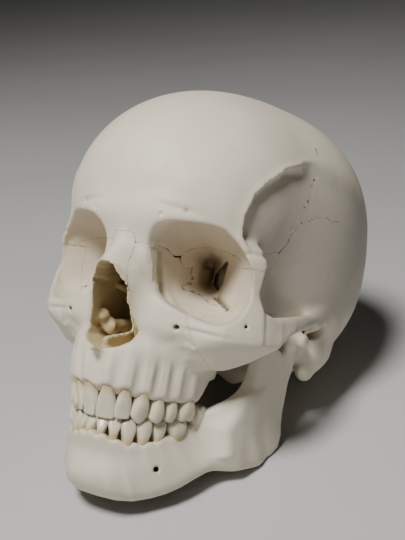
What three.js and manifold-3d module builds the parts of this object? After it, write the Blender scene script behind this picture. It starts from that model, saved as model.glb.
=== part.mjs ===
// Life-size human skull with its lower jaw closed, as a museum study model.
// Millimetres. The shape is a signed field in the skull's own frame:
// x to the skull's left, y to its back, z up, origin midway between the ear openings.
import * as THREE from 'three';
import { edgeTable, triTable } from 'three/addons/objects/MarchingCubes.js';
import Module from 'manifold-3d';

const wasm = await Module();
wasm.setup();
const { Manifold, Mesh } = wasm;

// Sizes
const REST_TILT = 26.6 * Math.PI / 180;
const SUTURE_GAP = 0.4;
const FLOOR_CUT = 0.7;
const WALL = 6.5;
const GRID = 1.7;
const BLOCK = 6;
const CRANIUM_TRIANGLES = 7600;
const JAW_TRIANGLES = 1800;

// Field helpers
const { abs, sqrt, min, max, exp, cos, sin, hypot, sign } = Math;

function smin(a, b, k) {
  const h = max(k - abs(a - b), 0) / k;
  return min(a, b) - h * h * k * 0.25;
}

function smax(a, b, k) {
  return -smin(-a, -b, k);
}

function step(lo, hi, v) {
  const t = min(max((v - lo) / (hi - lo), 0), 1);
  return t * t * (3 - 2 * t);
}

function bell(v, middle, width) {
  return exp(-(((v - middle) / width) ** 2));
}

function ellipsoid(x, y, z, c, r) {
  const p = (x - c[0]) / r[0], q = (y - c[1]) / r[1], s = (z - c[2]) / r[2];
  const near = sqrt(p * p + q * q + s * s) + 1e-9;
  const slope = sqrt((p / r[0]) ** 2 + (q / r[1]) ** 2 + (s / r[2]) ** 2) + 1e-9;
  return near * (near - 1) / slope;
}

function oval(u, v, cu, cv, ru, rv) {
  const p = (u - cu) / ru, q = (v - cv) / rv;
  const near = sqrt(p * p + q * q) + 1e-9;
  const slope = sqrt((p / ru) ** 2 + (q / rv) ** 2) + 1e-9;
  return near * (near - 1) / slope;
}

function curve(v, xs, ys) {
  if (v <= xs[0]) return ys[0];
  for (let i = 1; i < xs.length; i++) {
    if (v <= xs[i]) return ys[i - 1] + (ys[i] - ys[i - 1]) * (v - xs[i - 1]) / (xs[i] - xs[i - 1]);
  }
  return ys[ys.length - 1];
}

// A rod along a path, its radius running from one value to the next
function tube(x, y, z, points, radii, k = 2, scale = [1, 1, 1]) {
  let best = null;
  for (let i = 0; i < points.length - 1; i++) {
    const a = points[i], b = points[i + 1];
    const ux = (b[0] - a[0]) * scale[0], uy = (b[1] - a[1]) * scale[1], uz = (b[2] - a[2]) * scale[2];
    const px = (x - a[0]) * scale[0], py = (y - a[1]) * scale[1], pz = (z - a[2]) * scale[2];
    const t = min(max((px * ux + py * uy + pz * uz) / (ux * ux + uy * uy + uz * uz), 0), 1);
    const d = hypot(px - ux * t, py - uy * t, pz - uz * t) - (radii[i] + (radii[i + 1] - radii[i]) * t);
    best = best === null ? d : smin(best, d, k);
  }
  return best;
}

// Distance to a closed outline in a plane, negative inside
function outline(u, v, points) {
  let d = Infinity, s = 1;
  for (let i = 0, j = points.length - 1; i < points.length; j = i++) {
    const ex = points[j][0] - points[i][0], ey = points[j][1] - points[i][1];
    const wx = u - points[i][0], wy = v - points[i][1];
    const t = min(max((wx * ex + wy * ey) / (ex * ex + ey * ey), 0), 1);
    const bx = wx - ex * t, by = wy - ey * t;
    d = min(d, bx * bx + by * by);
    const above = v >= points[i][1], below = v < points[j][1], left = ex * wy > ey * wx;
    if ((above && below && left) || (!above && !below && !left)) s = -s;
  }
  return s * sqrt(d);
}

// Distance to a path seen from above, positive outside, and the length along it
function along(x, y, points) {
  let best = Infinity, arc = 0, side = 1, run = 0;
  for (let i = 0; i < points.length - 1; i++) {
    const px = points[i][0], py = points[i][1];
    const ux = points[i + 1][0] - px, uy = points[i + 1][1] - py;
    const l = hypot(ux, uy);
    const t = min(max(((x - px) * ux + (y - py) * uy) / (l * l), 0), 1);
    const dx = x - px - ux * t, dy = y - py - uy * t;
    const d = hypot(dx, dy);
    if (d < best) {
      best = d;
      arc = run + t * l;
      side = sign(dx * uy - dy * ux);
    }
    run += l;
  }
  return [best * side, arc];
}

// Braincase
function vault(x, y, z) {
  const ax = abs(x);
  let f = ellipsoid(x, y, z, [0, -45.9, 46.6], [53.7, 47.7, 49.5]);
  f = smin(f, ellipsoid(x, y, z, [0, 9.9, 58.1], [62.0, 66.7, 52.6]), 38);
  f = smin(f, ellipsoid(ax, y, z, [26.8, 17.3, 33.6], [43.3, 63.6, 62.9]), 14);
  return smin(f, ellipsoid(x, y, z, [0, 41.7, 14.8], [18.5, 44.6, 45.4]), 38);
}

const TEMPORAL = [[-60, 18], [-67, 25], [-70.5, 34], [-71.5, 44], [-69, 53], [-61, 61.5], [-48, 69.5], [-30, 76],
  [-8, 80], [16, 77], [38, 67], [54, 50], [60, 32], [52, 14], [36, 4], [10, 0], [-20, -6], [-56, -8]];

// How far the temporal hollow is sunk below its line
function temple(y, z) {
  const d = -outline(y, z, TEMPORAL);
  const w = 8 + 10 * step(-50, 0, y);
  return step(-1, w, d) * (3.6 - 2.6 * step(-50, 10, y));
}

// Eye socket, narrowing to the back
function orbit(ax, y, z) {
  const inner = 10.8 + 0.08 * max(y + 76, 0);
  const outer = y < -65 ? 51 + (-65 - y) * 0.3 : 51 - (y + 65) * 1.12;
  const top = 35.6 + 2 * step(-90, -78, y) - max(y + 76, 0) * 0.42;
  const bottom = -2.2 - 1.5 * step(-86, -74, y) + max(y + 70, 0) * 0.34;
  const a = max((outer - inner) / 2, 0.6), b = max((top - bottom) / 2, 0.6);
  const u = abs(ax - inner - a) / a;
  const v = abs(z - ((top + bottom) / 2 - 0.2 * (ax - 31))) / b;
  return ((u ** 2.6 + v ** 2.6 + 1e-9) ** (1 / 2.6) - 1) * min(a, b) * 0.9;
}

// Nasal opening and nasal bones
const PEAR_Z = [-22.5, -20.5, -17.5, -13, -9, -6, -1, 3, 6, 9, 12, 14, 15];
const PEAR_W = [0, 7.5, 11.4, 12.4, 11, 9.9, 8.8, 8.8, 8.4, 6.8, 5, 3.8, 0];
const RIDGE_Z = [-30, -22, -16, -8, 0, 6, 12.8, 19, 25.5, 31, 42];
const RIDGE_Y = [-89, -95, -101.5, -106, -108.5, -109.5, -107.5, -101.5, -94, -89.5, -90];

function pear(ax, z) {
  return max((ax - curve(z, PEAR_Z, PEAR_W)) * 0.9, z - 15, -22 - z);
}

function nose(ax, y, z) {
  const front = curve(z, RIDGE_Z, RIDGE_Y) + 1.9 * (sqrt(ax * ax + 14) - 3.74);
  let f = smax((front - y) * 0.52, ax - 17, 8);
  f = smax(f, max(-24 - z, z - 38), 10);
  return smax(f, y + 74, 6);
}

// Brow, socket rims and side wall
function upperFace(ax, y, z) {
  const dip = exp(-(((z - 10) / 9) ** 2));
  let f = oval(ax, y, 0, -44, 60 - 2.4 * dip, 45.5 - 1.6 * dip);
  f = smax(f, (ax - 51 + 1.12 * (y + 65)) / 1.5 - (3.4 + 5.6 * step(-55, -64, y)), 3);
  f = smax(f, z - (37 - 0.002 * ax * ax), 9);
  f = smax(f, -14 - z, 8);
  return smax(f, y + 34, 8);
}

// Cheekbone and arch
const ZYGOMA = [[-78, -8], [-72, 2], [-65, 9], [-59, 4], [-50, 1.5], [-31, 4], [-12, 5.5], [6, 6], [6, 0], [-8, -1.5],
  [-13, -0.5], [-20, -1.8], [-31, -3.4], [-39, -5.6], [-45, -10], [-50, -16], [-55, -21.4], [-61, -25.4],
  [-68, -26], [-74, -22], [-78, -16]];
const CHEEK = [[36, -77], [43, -72], [47.5, -67], [51.5, -61.5], [55.5, -55], [59.7, -47.5], [62.6, -38],
  [63.8, -28], [63.4, -16], [61.2, -4], [59, 8]];

function zygoma(ax, y, z) {
  const [n] = along(ax, y, CHEEK);
  const half = 2.3 + 2.4 * step(-44, -62, y) + 0.8 * step(-20, 0, y);
  const lean = 0.8 * max(-11 - z, 0) * step(-34, -52, y) + 0.16 * max(z + 8, 0);
  return smax(outline(y, z, ZYGOMA), abs(n + lean) - half, 3.4);
}

// Upper jaw
const UPPER_ROW = [[0, -93.2], [4.3, -92.6], [10.9, -89.9], [15.8, -85], [19.4, -78.9], [22.2, -72.2],
  [25.3, -63.7], [27, -56], [27.4, -48]];

function upperGum(ax, y, z) {
  const [n, s] = along(ax, y, UPPER_ROW);
  const crest = -40.3 + 9 * step(46, 55, s);
  const f = smax(abs(n + 0.6) - (4.6 + 0.1 * (z + 41)), crest - z, 2.6);
  return smax(f, z + 16, 8);
}

function maxilla(ax, y, z) {
  let f = oval(ax, y, 0, -56, 30 + 12 * step(-29, -10, z), 36.6 - 2.4 * step(-41, -16, z));
  f = smax(f, y + 48 - 0.3 * (z + 20), 6);
  f = smax(f, -41 - z, 3);
  f = smax(f, z - 4, 8);
  f += 4.5 * bell(ax, 19, 8) * bell(z, -22, 11) * step(-70, -78, y);
  return f + 4 * bell(ax, 29, 7) * bell(z, -20, 8) * step(-60, -72, y);
}

function face(x, y, z) {
  const ax = abs(x);
  let f = smin(upperFace(ax, y, z), maxilla(ax, y, z), 6);
  f = smin(f, nose(ax, y, z), 5);
  f = smin(f, ellipsoid(ax, y, z, [9, -84, 39], [16, 9.5, 7.5]), 9);
  f = smin(f, zygoma(ax, y, z), 6);
  f = smin(f, upperGum(ax, y, z), 5);
  return smin(f, tube(x, y, z, [[0, -84, -23], [0, -95, -22.3], [0, -103, -21.6]], [4, 3, 1.6]), 3);
}

// Base: clivus, mastoid, ear bone, condyles and the plates behind the palate
const PLATE = [[-50, 0], [-32, 0], [-29, -14], [-32, -27], [-38, -33], [-47, -34], [-50, -20]];

function base(x, y, z) {
  const ax = abs(x);
  let f = smax(ellipsoid(x, y, z, [0, -42, 14], [44, 17, 19]), -6 - z, 4);
  f = smin(f, tube(x, y, z, [[0, -44, -2], [0, -24, -12], [0, -6, -25]], [12, 10, 6.5], 4, [0.75, 1, 1]), 5);
  f = smin(f, tube(ax, y, z, [[57, 14, 0], [55, 12, -12], [53.5, 8, -22.5]], [10, 9.5, 6], 5, [1.25, 1, 1]), 6);
  f = smin(f, tube(ax, y, z, [[22, -16, -12], [44, -2, -12]], [7, 8], 4), 5);
  f = smin(f, tube(ax, y, z, [[13.5, -6, -27], [18, 2, -30], [20, 10, -28]], [5, 5.5, 5], 3), 3);
  f = smin(f, ellipsoid(x, y, z, [0, 73, -9], [24, 8, 5.5]), 16);
  return smin(f, smax(outline(y, z, PLATE), abs(ax - 17 + 0.25 * (y + 40)) - 2, 2), 3);
}

function cranium(x, y, z) {
  const ax = abs(x);
  let f = vault(x, y, z) + temple(y, z) * step(20, 36, ax);
  f = smin(f, base(x, y, z), 5);
  f = smin(f, face(x, y, z), 6);
  const socket = orbit(ax, y, z);
  f = smax(f, -socket, 1.6);
  let inner = ellipsoid(x, y, z, [0, -64, -6], [13.5, 34, 16.5]);
  inner = smin(inner, ellipsoid(x, y, z, [0, -72, 8], [8.5, 26, 17]), 5);
  f = smax(f, -smin(max(pear(ax, z), -125 - y, y + 76), inner, 2), 1);
  f = smax(f, -ellipsoid(x, y, z, [0, -60, -46], [19, 29, 14.5]), 3);
  f = smax(f, -ellipsoid(x, y, z, [0, -34, -26], [12.5, 15, 16]), 3);
  f = smax(f, -ellipsoid(ax, y, z, [52, -14, -5], [14, 8.5, 7]), 2.5);
  const ear = tube(ax, y, z, [[78, 2, -2], [50, -1, -3]], [4.2, 3.6]);
  f = smax(f, -ear, 1.2);
  let floor = 42 - 40 * step(-44, -30, y) - 22 * step(-12, 8, y);
  floor += 12 * step(16, 8, ax) * step(-50, -36, y) * step(4, -8, y);
  const brain = smax(smax(vault(x, y, z) + WALL, floor - z, 8), 4.5 - socket, 3);
  f = smax(f, -brain, 1.5);
  return smax(f, -max(oval(x, y, 0, 14, 15, 18.5), abs(z + 26) - 18), 3);
}

// Lower jaw
const JAW_TOP = [[0, -90.6], [5, -89.8], [9.7, -87.1], [14, -82.6], [17.6, -77.2], [21.1, -69.7], [25.3, -59.6],
  [29.6, -49.6], [36, -40], [42, -28]];
const JAW_LOW = [[0, -78.8], [8, -78], [14.5, -75], [20.5, -69.6], [26.5, -63.2], [31.8, -56.2], [37.5, -48],
  [42, -38], [45, -28], [47.5, -16]];
const CREST = [-58.2, -58.8, -60.6, -61.2, -60.4, -58.2, -54.6, -49, -44, -40];
const JAW_BASE = [-88.4, -88.4, -87.8, -86, -83.4, -80.2, -76, -72.4, -70.6, -67];
const NODES = [0, 1, 2, 3, 4, 5, 6, 7, 8, 9];
const RAMUS = [[-50, -52], [-43.5, -43], [-39.5, -35], [-36.5, -26], [-35.5, -14], [-34, -4], [-30, 1], [-26, -4],
  [-22, -11.5], [-16.5, -14.5], [-12.5, -12], [-11, -5], [-5, -5], [-3, -12], [-6.5, -30], [-6.5, -44],
  [-5, -55], [-7, -61.5], [-12.5, -65.8], [-26, -68.6], [-38, -68.6], [-48, -64]];

function jawBody(ax, y, z) {
  const t = min(max((z + 88) / 26, -0.2), 1.3);
  const path = JAW_LOW.map((p, i) => [p[0] + (JAW_TOP[i][0] - p[0]) * t, p[1] + (JAW_TOP[i][1] - p[1]) * t]);
  let best = Infinity, arc = 0, side = 1;
  for (let i = 0; i < path.length - 1; i++) {
    const ux = path[i + 1][0] - path[i][0], uy = path[i + 1][1] - path[i][1];
    const s = min(max(((ax - path[i][0]) * ux + (y - path[i][1]) * uy) / (ux * ux + uy * uy), 0), 1);
    const dx = ax - path[i][0] - ux * s, dy = y - path[i][1] - uy * s;
    const d = hypot(dx, dy);
    if (d < best) {
      best = d;
      arc = i + s;
      side = sign(dx * uy - dy * ux);
    }
  }
  const n = best * side;
  const chin = 4.2 * step(3, 0.5, arc) * exp(-(((z + 79) / 8.5) ** 2));
  const waist = 1.2 * step(4.5, 1, arc) * exp(-(((z + 68) / 5) ** 2));
  const thick = 5 + 0.7 * step(3, 6, arc) - step(-72, -62, z);
  const wall = n > 0 ? n - chin + waist - thick : -n - thick;
  return smax(smax(wall, z - curve(arc, NODES, CREST), 2.6), curve(arc, NODES, JAW_BASE) - z, 7);
}

function ramus(ax, y, z) {
  const middle = 46.2 + 0.22 * (y + 22) + 0.04 * (z + 40);
  const half = 2.9 + 1.5 * step(-48, -64, z) + 1.2 * step(-32, -42, y) * step(-30, -50, z);
  const f = smax(outline(y, z, RAMUS), abs(ax - middle) - half, 3.6);
  return smin(f, tube(ax, y, z, [[44.5, -9.5, -8], [51.5, -11.5, -6.5], [58.5, -13.5, -8]], [3.4, 4.2, 3.2], 3), 5);
}

function mandible(x, y, z) {
  const ax = abs(x);
  const f = smin(jawBody(ax, y, z), ramus(ax, y, z), 10);
  return max(f, 0.5 - cranium(x, y, z));
}

// Surface of a field, walked block by block and kept only where the surface can be
function surface(field, low, high) {
  const count = high.map((v, i) => Math.ceil((v - low[i]) / (GRID * BLOCK)));
  const cells = count.map(v => v * BLOCK);
  const corners = [[0, 0, 0], [1, 0, 0], [1, 1, 0], [0, 1, 0], [0, 0, 1], [1, 0, 1], [1, 1, 1], [0, 1, 1]];
  const edges = [[0, 1], [1, 2], [2, 3], [3, 0], [4, 5], [5, 6], [6, 7], [7, 4], [0, 4], [1, 5], [2, 6], [3, 7]];
  const row = cells[0] + 1, sheet = row * (cells[1] + 1);
  const known = new Map(), made = new Map();
  const points = [], faces = [];
  const value = (i, j, k) => {
    const key = i + j * row + k * sheet;
    let v = known.get(key);
    if (v === undefined) {
      v = field(low[0] + i * GRID, low[1] + j * GRID, low[2] + k * GRID);
      if (abs(v) < 0.02) v = v < 0 ? -0.02 : 0.02;
      known.set(key, v);
    }
    return v;
  };
  const reach = GRID * BLOCK * 0.5 * 1.7320508 * 1.4 + GRID;
  for (let bk = 0; bk < count[2]; bk++) for (let bj = 0; bj < count[1]; bj++) for (let bi = 0; bi < count[0]; bi++) {
    const middle = [bi, bj, bk].map((v, i) => low[i] + (v + 0.5) * BLOCK * GRID);
    if (abs(field(...middle)) > reach) continue;
    for (let c = 0; c < BLOCK ** 3; c++) {
      const i = bi * BLOCK + c % BLOCK, j = bj * BLOCK + Math.floor(c / BLOCK) % BLOCK;
      const k = bk * BLOCK + Math.floor(c / (BLOCK * BLOCK));
      const v = corners.map(o => value(i + o[0], j + o[1], k + o[2]));
      let index = 0;
      for (let n = 0; n < 8; n++) if (v[n] < 0) index |= 1 << n;
      if (edgeTable[index] === 0) continue;
      const spot = edge => {
        const a = corners[edges[edge][0]], b = corners[edges[edge][1]];
        const ka = i + a[0] + (j + a[1]) * row + (k + a[2]) * sheet;
        const kb = i + b[0] + (j + b[1]) * row + (k + b[2]) * sheet;
        const key = min(ka, kb) * 4 + (a[0] !== b[0] ? 0 : a[1] !== b[1] ? 1 : 2);
        if (!made.has(key)) {
          const va = v[edges[edge][0]], vb = v[edges[edge][1]];
          const t = min(max(va / (va - vb), 0.05), 0.95);
          made.set(key, points.length);
          points.push([0, 1, 2].map(n => low[n] + ([i, j, k][n] + a[n] + (b[n] - a[n]) * t) * GRID));
        }
        return made.get(key);
      };
      for (let n = index * 16; triTable[n] >= 0; n += 3) {
        faces.push([spot(triTable[n]), spot(triTable[n + 2]), spot(triTable[n + 1])]);
      }
    }
  }
  return { points, faces };
}

// Fewer triangles: the edge whose loss moves the surface least goes first
function simplify(shape, target) {
  const { points, faces } = shape;
  const ring = points.map(() => new Set());
  const quadric = points.map(() => new Float64Array(10));
  const cross = (a, b, c) => {
    const u = [b[0] - a[0], b[1] - a[1], b[2] - a[2]], w = [c[0] - a[0], c[1] - a[1], c[2] - a[2]];
    return [u[1] * w[2] - u[2] * w[1], u[2] * w[0] - u[0] * w[2], u[0] * w[1] - u[1] * w[0]];
  };
  faces.forEach((f, n) => {
    const c = cross(...f.map(i => points[i]));
    const l = hypot(...c) + 1e-12;
    const p = [c[0] / l, c[1] / l, c[2] / l];
    const d = -(p[0] * points[f[0]][0] + p[1] * points[f[0]][1] + p[2] * points[f[0]][2]);
    const q = [...p, d];
    for (const i of f) {
      ring[i].add(n);
      let m = 0;
      for (let a = 0; a < 4; a++) for (let b = a; b < 4; b++) quadric[i][m++] += q[a] * q[b] * l;
    }
  });
  const cost = (q, p) => {
    const v = [...p, 1];
    let m = 0, s = 0;
    for (let a = 0; a < 4; a++) for (let b = a; b < 4; b++) s += q[m++] * v[a] * v[b] * (a === b ? 1 : 2);
    return s;
  };
  const best = (q, a, b) => {
    const [xx, xy, xz, xw, yy, yz, yw, zz, zw] = q;
    const c0 = yy * zz - yz * yz, c1 = xz * yz - xy * zz, c2 = xy * yz - xz * yy;
    const det = xx * c0 + xy * c1 + xz * c2;
    const mid = [0, 1, 2].map(n => (points[a][n] + points[b][n]) / 2);
    const size = (xx + yy + zz) ** 3;
    if (abs(det) > 1e-4 * size) {
      const r = [
        -(xw * c0 + yw * c1 + zw * c2) / det,
        -(xw * c1 + yw * (xx * zz - xz * xz) + zw * (xy * xz - xx * yz)) / det,
        -(xw * c2 + yw * (xy * xz - xx * yz) + zw * (xx * yy - xy * xy)) / det,
      ];
      if (hypot(r[0] - mid[0], r[1] - mid[1], r[2] - mid[2]) < 6) return r;
    }
    const options = [mid, points[a], points[b]];
    return options.reduce((p, c) => (cost(q, c) < cost(q, p) ? c : p));
  };
  const stamp = new Int32Array(points.length);
  const heap = [];
  const push = item => {
    let i = heap.push(item) - 1;
    while (i > 0) {
      const parent = (i - 1) >> 1;
      if (heap[parent].cost <= heap[i].cost) break;
      [heap[parent], heap[i]] = [heap[i], heap[parent]];
      i = parent;
    }
  };
  const pop = () => {
    const first = heap[0], last = heap.pop();
    if (heap.length) {
      heap[0] = last;
      for (let i = 0; ;) {
        let c = 2 * i + 1;
        if (c >= heap.length) break;
        if (c + 1 < heap.length && heap[c + 1].cost < heap[c].cost) c++;
        if (heap[i].cost <= heap[c].cost) break;
        [heap[c], heap[i]] = [heap[i], heap[c]];
        i = c;
      }
    }
    return first;
  };
  const offer = (a, b) => {
    const q = quadric[a].map((v, n) => v + quadric[b][n]);
    const spot = best(q, a, b);
    push({ a, b, spot, cost: cost(q, spot), sa: stamp[a], sb: stamp[b] });
  };
  const neighbours = a => {
    const out = new Set();
    for (const n of ring[a]) for (const i of faces[n]) if (i !== a) out.add(i);
    return out;
  };
  points.forEach((_, a) => {
    for (const b of neighbours(a)) if (a < b) offer(a, b);
  });
  let live = faces.length;
  while (live > target && heap.length) {
    const { a, b, spot, sa, sb } = pop();
    if (sa !== stamp[a] || sb !== stamp[b] || !ring[a].size || !ring[b].size) continue;
    const na = neighbours(a), nb = neighbours(b);
    let shared = 0;
    for (const i of na) if (nb.has(i)) shared++;
    if (shared !== 2) continue;
    let flips = false;
    for (const [v, o] of [[a, b], [b, a]]) for (const n of ring[v]) {
      if (faces[n].includes(o)) continue;
      const before = cross(...faces[n].map(i => points[i]));
      const after = cross(...faces[n].map(i => (i === v ? spot : points[i])));
      const dot = before[0] * after[0] + before[1] * after[1] + before[2] * after[2];
      if (dot < 0.25 * hypot(...before) * hypot(...after) || hypot(...after) < 0.02) flips = true;
    }
    if (flips) continue;
    for (const n of [...ring[b]]) {
      if (faces[n].includes(a)) {
        for (const i of faces[n]) ring[i].delete(n);
        faces[n] = null;
        live--;
      } else {
        faces[n] = faces[n].map(i => (i === b ? a : i));
        ring[a].add(n);
      }
    }
    ring[b].clear();
    points[a] = spot;
    quadric[a] = quadric[a].map((v, n) => v + quadric[b][n]);
    stamp[a]++;
    stamp[b]++;
    for (const i of neighbours(a)) offer(min(a, i), max(a, i));
  }
  return { points, faces: faces.filter(Boolean) };
}

function solid(shape) {
  const used = new Map(), points = [], index = [];
  for (const f of shape.faces) for (const i of f) {
    if (!used.has(i)) {
      used.set(i, used.size);
      points.push(...shape.points[i]);
    }
    index.push(used.get(i));
  }
  const mesh = new Mesh({ numProp: 3, vertProperties: new Float32Array(points), triVerts: new Uint32Array(index) });
  return new Manifold(mesh);
}

function largest(body) {
  return body.decompose().reduce((a, b) => (b.volume() > a.volume() ? b : a));
}

function solidOf(geometry) {
  const place = geometry.getAttribute('position');
  const key = new Map(), points = [], index = [];
  const at = [];
  for (let i = 0; i < place.count; i++) {
    const p = [place.getX(i), place.getY(i), place.getZ(i)];
    const name = p.map(v => Math.round(v * 1e4)).join();
    if (!key.has(name)) {
      key.set(name, key.size);
      points.push(...p);
    }
    at.push(key.get(name));
  }
  const order = geometry.index ? [...geometry.index.array] : at.map((_, i) => i);
  for (let i = 0; i < order.length; i += 3) {
    const t = [at[order[i]], at[order[i + 1]], at[order[i + 2]]];
    if (t[0] !== t[1] && t[1] !== t[2] && t[0] !== t[2]) index.push(...t);
  }
  const mesh = new Mesh({ numProp: 3, vertProperties: new Float32Array(points), triVerts: new Uint32Array(index) });
  return new Manifold(mesh);
}

// A straight prism from an outline; axis x takes (y, z) points, axis y takes (x, z), axis z takes (x, y)
function prism(points, axis, from, to, grow = 0) {
  let turn = 0;
  points.forEach((p, i) => {
    const q = points[(i + 1) % points.length];
    turn += p[0] * q[1] - q[0] * p[1];
  });
  const ring = turn > 0 ? points : [...points].reverse();
  const moved = ring.map((p, i) => {
    const a = ring[(i + ring.length - 1) % ring.length], c = ring[(i + 1) % ring.length];
    const u = new THREE.Vector2(p[1] - a[1], a[0] - p[0]).normalize();
    const v = new THREE.Vector2(c[1] - p[1], p[0] - c[0]).normalize();
    const k = grow / max(1 + u.dot(v), 0.3);
    return new THREE.Vector2(p[0] + (u.x + v.x) * k, p[1] + (u.y + v.y) * k);
  });
  const shape = new THREE.Shape(moved);
  const geometry = new THREE.ExtrudeGeometry(shape, { depth: to - from + 2 * grow, bevelEnabled: false });
  geometry.translate(0, 0, from - grow);
  const turnTo = {
    x: new THREE.Matrix4().set(0, 0, 1, 0, 1, 0, 0, 0, 0, 1, 0, 0, 0, 0, 0, 1),
    y: new THREE.Matrix4().set(1, 0, 0, 0, 0, 0, 1, 0, 0, 1, 0, 0, 0, 0, 0, 1),
    z: new THREE.Matrix4(),
  }[axis];
  geometry.applyMatrix4(turnTo);
  const body = solidOf(geometry);
  return body.volume() < 0 ? solidOf(flipped(geometry)) : body;
}

function flipped(geometry) {
  const copy = geometry.index ? geometry.toNonIndexed() : geometry.clone();
  const p = copy.getAttribute('position');
  const flat = [];
  for (let i = 0; i < p.count; i += 3) {
    for (const n of [i, i + 2, i + 1]) flat.push(p.getX(n), p.getY(n), p.getZ(n));
  }
  const out = new THREE.BufferGeometry();
  out.setAttribute('position', new THREE.Float32BufferAttribute(flat, 3));
  return out;
}

// Where the bones meet, as outlines seen from the side, the front or above
const CHEEK_FRONT = [[40, 21], [80, 21], [80, -34], [42, -34], [37, -20], [33, -8], [30, 0], [36, 10]];
const CHEEK_ABOVE = [[26, -95], [80, -95], [80, -35], [57, -38], [55, -46], [48, -56], [40, -60], [30, -66]];
const TEMPORAL_SIDE = [[-41, 14], [-41, 32], [-35, 46], [-22, 51.5], [-6, 50.5], [8, 46], [22, 39], [34, 22],
  [46, 6], [46, -8], [30, -20], [22, -50], [-20, -50], [-26, -10], [-41, -8]];
const NASAL_FRONT = [[-5, 29], [5, 29], [6.5, 18], [9.5, 4], [-9.5, 4], [-6.5, 18]];
const FACE_FRONT = [[-11, 25], [11, 25], [14, 8], [26, 3], [60, 0], [60, -60], [-60, -60], [-60, 0], [-26, 3],
  [-14, 8]];
const SPHENOID_SIDE = [[-66, 18], [-58, 26], [-44, 31], [-32, 30], [-27, 14], [-20, -4], [-16, -20], [-22, -50],
  [-70, -50], [-70, 0]];
const FRONTAL_SIDE = [[-130, 150], [-4, 150], [-12, 108], [-21, 76], [-34, 52], [-44, 26], [-60, 4], [-130, 4]];
const OCCIPITAL_SIDE = [[120, 70], [88, 52], [66, 34], [48, 8], [34, -6], [0, -8], [-24, -6], [-24, -60], [120, -60]];

function boneSet(whole) {
  const far = 140;
  const pieces = {};
  let rest = whole;
  const take = (name, near, wide) => {
    pieces[name] = largest(rest.intersect(near));
    rest = rest.subtract(wide);
  };
  const cheek = (side, grow) => {
    const mirror = list => list.map(p => [p[0] * side, p[1]]);
    return prism(mirror(CHEEK_FRONT), 'y', -95, -30, grow).intersect(prism(mirror(CHEEK_ABOVE), 'z', -40, 30, grow));
  };
  const temporal = (side, grow) => (side > 0
    ? prism(TEMPORAL_SIDE, 'x', 34, far, grow) : prism(TEMPORAL_SIDE, 'x', -far, -34, grow));
  take('zygomatic_left', cheek(1, 0), cheek(1, SUTURE_GAP));
  take('zygomatic_right', cheek(-1, 0), cheek(-1, SUTURE_GAP));
  take('temporal_left', temporal(1, 0), temporal(1, SUTURE_GAP));
  take('temporal_right', temporal(-1, 0), temporal(-1, SUTURE_GAP));
  take('nasal_bones', prism(NASAL_FRONT, 'y', -130, -82, 0), prism(NASAL_FRONT, 'y', -130, -82, SUTURE_GAP));
  take('maxilla', prism(FACE_FRONT, 'y', -130, -48, 0), prism(FACE_FRONT, 'y', -130, -48, SUTURE_GAP));
  take('sphenoid', prism(SPHENOID_SIDE, 'x', -far, far, 0), prism(SPHENOID_SIDE, 'x', -far, far, SUTURE_GAP));
  take('frontal', prism(FRONTAL_SIDE, 'x', -far, far, 0), prism(FRONTAL_SIDE, 'x', -far, far, SUTURE_GAP));
  take('occipital', prism(OCCIPITAL_SIDE, 'x', -far, far, 0), prism(OCCIPITAL_SIDE, 'x', -far, far, SUTURE_GAP));
  pieces.parietal_left = half(rest, 1);
  pieces.parietal_right = half(rest, -1);
  return pieces;
}

// One side of a body that crosses the middle
function half(body, side) {
  const near = side * SUTURE_GAP / 2, far = side * 140;
  return largest(body.intersect(prism([[near, -140], [far, -140], [far, 140], [near, 140]], 'z', -140, 140)));
}

// Teeth: distance along the row, width, depth, height of crown, how far the crown is pinched to an edge
const UPPER_TEETH = [[4.4, 8.6, 6.6, 10.9, 0.75], [12.1, 7, 6, 10.2, 0.7], [19.6, 7.7, 7.6, 11.2, 0.6],
  [27, 7.4, 8.6, 10.8, 0.2], [34.2, 7.2, 8.8, 10.4, 0.15], [43.1, 10.7, 10.4, 10.2, 0.05]];
const LOWER_TEETH = [[2.7, 5.5, 5.6, 9, 0.75], [8.2, 6, 6, 9.2, 0.7], [14.4, 7, 7.2, 10.4, 0.6],
  [21.3, 7.3, 7.5, 9.8, 0.15], [28.4, 7.4, 7.9, 8.8, 0.15], [37.9, 11, 9.6, 7.9, 0.05], [49, 10.6, 9.4, 9.6, 0.05]];
const LOWER_NECKS = [-58.6, -59, -61, -60.6, -59.4, -58.2, -53.4];
const LOWER_ROW = [[0, -90.6], [2.6, -90.4], [7, -88.9], [11.7, -85.2], [15.9, -80], [18.9, -74.2], [23.1, -64.8],
  [27.1, -53.6], [29.4, -46.6]];
const UPPER_NECK = -39.9;
const ROOT = 4;

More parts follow.
